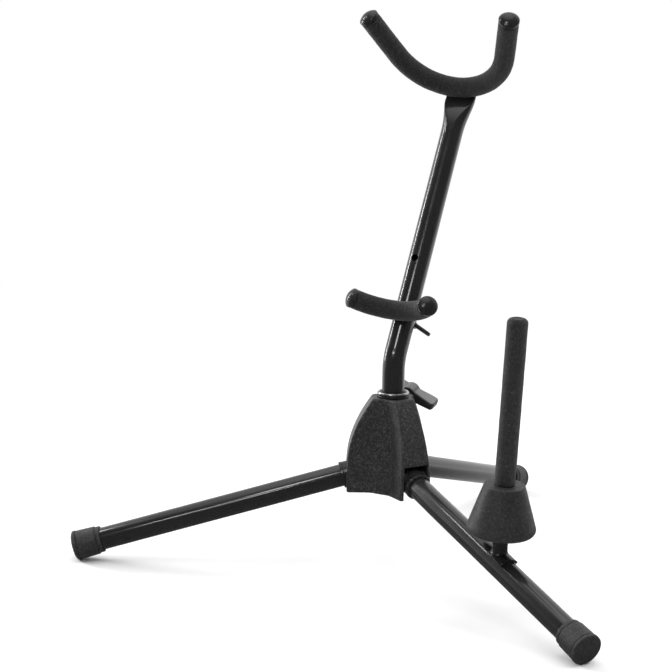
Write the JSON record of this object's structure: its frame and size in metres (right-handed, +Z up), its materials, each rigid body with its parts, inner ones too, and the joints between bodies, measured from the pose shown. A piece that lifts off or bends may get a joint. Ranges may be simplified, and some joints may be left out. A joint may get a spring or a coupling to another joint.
{
  "type": "saxophone stand",
  "caption": "Folding tripod stand with a leaning upright, padded yokes that hold a saxophone, and a felt-covered side peg on one leg.",
  "frame": {"origin": "middle of the footprint's box, on the floor", "axes": "+Z up, +Y towards the rear foot, +X to the player's right as they face the stand's rear leg"},
  "size_m": [0.5044, 0.4398, 0.4898],
  "materials": {
    "gloss_paint": "gloss black paint on steel tube",
    "hub_plastic": "fine-grained charcoal moulding",
    "black_plastic": "smooth black moulding",
    "chrome": "polished",
    "zinc_steel": "zinc plated, satin",
    "brass": "turned",
    "foam": "matte black foam with a fine open skin",
    "rubber": "satin charcoal rubber",
    "felt": "charcoal felt with a short nap"
  },
  "bodies": {
    "hub": {"hub_housing": "hub_plastic", "clamp_insert": "brass", "left_pivot_pin": "zinc_steel", "right_pivot_pin": "zinc_steel", "rear_pivot_pin": "zinc_steel"},
    "swivel": {"hub_bush": "black_plastic", "hub_collar_ring": "chrome"},
    "upright": {"main_tube": "gloss_paint", "upper_yoke_rod": "gloss_paint", "upper_yoke_sleeve": "foam", "upper_yoke_cap_left": "black_plastic", "upper_yoke_cap_right": "black_plastic", "lower_yoke_rod": "gloss_paint", "lower_yoke_sleeve": "foam", "lower_yoke_cap_left": "black_plastic", "lower_yoke_cap_right": "black_plastic", "lower_yoke_stud": "zinc_steel"},
    "yoke_nut": {"lower_yoke_wing_nut": "black_plastic"},
    "clamp": {"clamp_screw": "zinc_steel", "clamp_knob": "black_plastic"},
    "left_leg": {"left_leg_knuckle": "black_plastic", "left_leg_tube": "gloss_paint", "left_foot": "rubber"},
    "right_leg": {"right_leg_knuckle": "black_plastic", "right_leg_tube": "gloss_paint", "right_foot": "rubber", "peg_boss": "black_plastic"},
    "rear_leg": {"rear_leg_knuckle": "black_plastic", "rear_leg_tube": "gloss_paint", "rear_foot": "rubber"},
    "peg": {"peg_spindle": "zinc_steel", "peg_cone": "rubber", "peg_core": "black_plastic", "peg_cover": "felt"}
  },
  "joints": [
    {"name": "upright_turn", "type": "hinge", "parent": "hub", "child": "swivel", "pos_m": [0, -0.06695, 0.15], "axis": [0, 0, 1], "continuous": true},
    {"name": "upright_lift", "type": "slide", "parent": "swivel", "child": "upright", "axis": [0, 0, 1], "range_m": [0, 0.065]},
    {"name": "yoke_nut_turn", "type": "hinge", "parent": "upright", "child": "yoke_nut", "pos_m": [0, -0.04736, 0.22201], "axis": [0, 0.8784, -0.4779], "continuous": true},
    {"name": "clamp_turn", "type": "hinge", "parent": "hub", "child": "clamp", "pos_m": [0, -0.05365, 0.1462], "axis": [0, 0.9703, 0.2419], "continuous": true},
    {"name": "left_leg_fold", "type": "hinge", "parent": "hub", "child": "left_leg", "pos_m": [-0.02555, -0.0817, 0.08527], "axis": [0.5, -0.866, 0], "range_deg": [0, 73.9]},
    {"name": "right_leg_fold", "type": "hinge", "parent": "hub", "child": "right_leg", "pos_m": [0.02555, -0.0817, 0.08527], "axis": [0.5, 0.866, 0], "range_deg": [0, 73.9]},
    {"name": "rear_leg_fold", "type": "hinge", "parent": "hub", "child": "rear_leg", "pos_m": [0, -0.03745, 0.08527], "axis": [-1, 0, 0], "range_deg": [0, 73.9]},
    {"name": "peg_unscrew", "type": "hinge", "parent": "right_leg", "child": "peg", "pos_m": [0.14298, -0.1495, 0.04623], "axis": [0.0634, -0.0366, 0.9973], "continuous": true}
  ]
}
